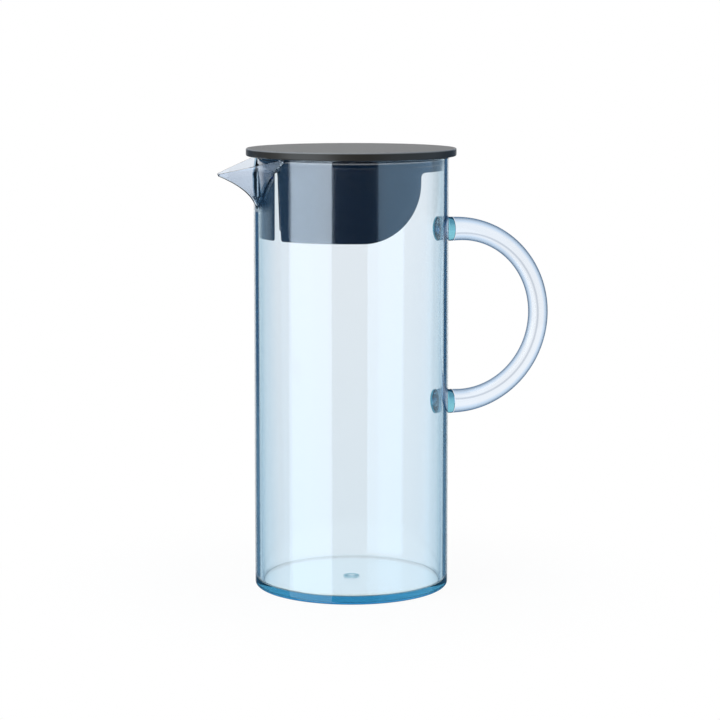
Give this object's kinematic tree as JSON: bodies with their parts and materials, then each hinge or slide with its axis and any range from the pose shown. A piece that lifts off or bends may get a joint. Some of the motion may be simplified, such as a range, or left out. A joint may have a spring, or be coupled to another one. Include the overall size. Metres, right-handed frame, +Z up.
{
  "type": "lidded water jug",
  "caption": "Tall clear tinted jug with a beak spout, a ring handle and a dark lid that lifts off and turns, its slotted skirt closing, straining or opening the pour.",
  "frame": {"origin": "centre of the flat underside, on the axis of the cylinder", "axes": "+Z up along the axis of the cylinder, spout towards -X, handle towards +X"},
  "size_m": [0.1868, 0.113, 0.2375],
  "materials": {
    "tinted_clear_plastic": "polished transparent plastic with a pale blue tint",
    "clear_plastic": "polished transparent plastic, almost colourless",
    "matte_dark_plastic": "fine matte texture, warm dark grey",
    "gloss_dark_plastic": "polished near-black plastic",
    "seal_rubber": "dull soft dark rubber"
  },
  "bodies": {
    "jug": {"jug_body": "tinted_clear_plastic", "handle": "clear_plastic"},
    "seal": {"lid_seal_ring": "seal_rubber"},
    "lid": {"lid_cap": "matte_dark_plastic", "lid_skirt": "gloss_dark_plastic"}
  },
  "joints": [
    {"name": "lid_lift", "type": "slide", "parent": "jug", "child": "seal", "axis": [0, 0, 1], "range_m": [0, 0.1]},
    {"name": "lid_turn", "type": "hinge", "parent": "seal", "child": "lid", "pos_m": [0, 0, 0.233], "axis": [0, 0, 1], "continuous": true}
  ]
}
